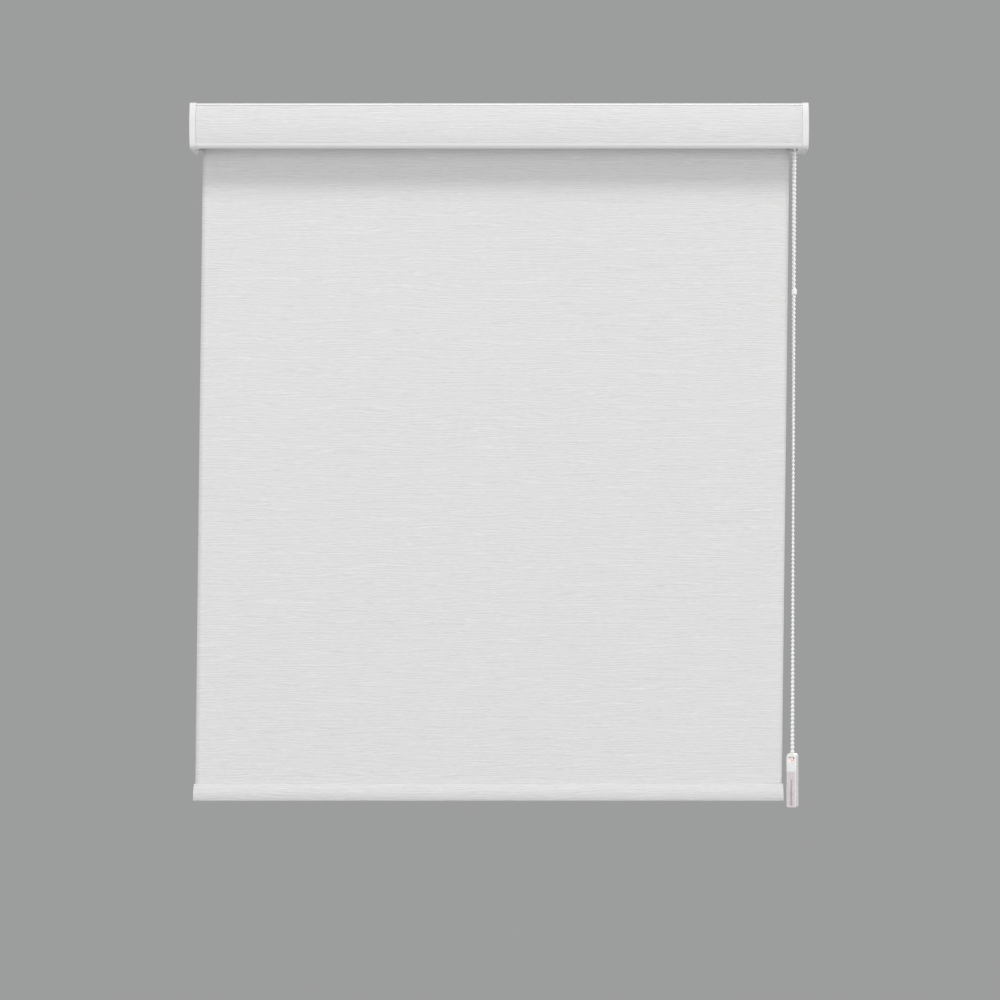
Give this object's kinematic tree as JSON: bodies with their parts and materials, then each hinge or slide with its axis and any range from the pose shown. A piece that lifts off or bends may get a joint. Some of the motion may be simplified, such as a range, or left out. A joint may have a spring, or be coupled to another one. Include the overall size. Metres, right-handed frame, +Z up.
{
  "type": "roller blind",
  "caption": "Cassette roller blind with fabric panel, wrapped bottom rail, bead-chain control and hanging chain weight.",
  "frame": {"origin": "centre of the four ceiling-fixing holes, on the top faces of the mounting clips", "axes": "+X along the blind towards the control chain, +Y towards the wall, +Z up"},
  "size_m": [0.9019, 0.0685, 1.0272],
  "materials": {
    "white_aluminium": "satin white powder coat",
    "mill_aluminium": "extruded, satin",
    "white_plastic": "moulded, satin white",
    "bearing_plastic": "moulded acetal",
    "blind_fabric": "woven, horizontal slubs",
    "chain_plastic": "moulded beads on a cord",
    "weight_plastic": "moulded, satin, slightly translucent",
    "screw_steel": "zinc plated",
    "spring_steel": "drawn wire",
    "clip_steel": "galvanised",
    "ballast_iron": "rough"
  },
  "bodies": {
    "cassette": {"headrail": "white_aluminium", "fascia": "white_aluminium", "fascia_insert": "blind_fabric", "end_cap_left": "white_plastic", "end_cap_right": "white_plastic", "end_cap_screws_left": "screw_steel", "end_cap_screws_right": "screw_steel", "mounting_clip_left": "clip_steel", "mounting_clip_right": "clip_steel", "clutch_housing": "white_plastic", "clutch_housing_screws": "screw_steel", "clutch_post": "bearing_plastic", "post_retainer": "screw_steel", "chain_guard": "white_plastic", "idle_bush": "bearing_plastic"},
    "roller": {"roller_tube": "mill_aluminium", "wound_fabric": "blind_fabric", "idle_plug": "bearing_plastic", "drive_adapter": "bearing_plastic", "idle_spring": "spring_steel"},
    "sprocket": {"sprocket": "white_plastic", "wrap_spring_inner": "spring_steel", "wrap_spring_outer": "spring_steel"},
    "idle_pin": {"idle_pin": "screw_steel"},
    "bottom_rail": {"fabric_panel": "blind_fabric", "bottom_rail_wrap": "blind_fabric", "bottom_rail": "mill_aluminium", "bottom_rail_spline": "bearing_plastic", "bottom_rail_cap_left": "white_plastic", "bottom_rail_cap_right": "white_plastic"},
    "chain": {"chain_front_strand": "chain_plastic", "chain_rear_strand": "chain_plastic", "chain_sprocket_wrap": "chain_plastic", "chain_weight_loop": "chain_plastic", "weight_front_shell": "weight_plastic", "weight_rear_shell": "weight_plastic", "weight_pin": "screw_steel", "weight_ballast": "ballast_iron"},
    "connector": {"chain_connector": "chain_plastic"}
  },
  "joints": [
    {"name": "roller_spin", "type": "hinge", "parent": "cassette", "child": "roller", "pos_m": [0, 0, -0.032], "axis": [1, 0, 0], "range_deg": [0, 2498.2]},
    {"name": "sprocket_spin", "type": "hinge", "parent": "cassette", "child": "sprocket", "pos_m": [0.4318, 0, -0.032], "axis": [1, 0, 0], "range_deg": [0, 2498.7]},
    {"name": "rail_lift", "type": "slide", "parent": "cassette", "child": "bottom_rail", "axis": [0.012, 0, 0.9999], "range_m": [0, 0.92007], "deforming": ["fabric_panel"]},
    {"name": "chain_swing", "type": "hinge", "parent": "cassette", "child": "chain", "pos_m": [0.4318, 0, -0.032], "axis": [1, 0, 0], "range_deg": [-4, 4]},
    {"name": "connector_travel", "type": "slide", "parent": "chain", "child": "connector", "axis": [-0.0044, 0.0121, -0.9999], "range_m": [0, 0.62455]},
    {"name": "idle_pin_press", "type": "slide", "parent": "roller", "child": "idle_pin", "axis": [1, 0, 0], "range_m": [0, 0.0075], "stiffness_N_per_m": 900, "springref_m": -0.004, "deforming": ["idle_spring"]}
  ],
  "couplings": [
    {"joint": "sprocket_spin", "follows": "roller_spin", "ratio": 1},
    {"joint": "rail_lift", "follows": "roller_spin", "m_per_rad": 0.021102},
    {"joint": "connector_travel", "follows": "roller_spin", "m_per_rad": 0.014324}
  ]
}
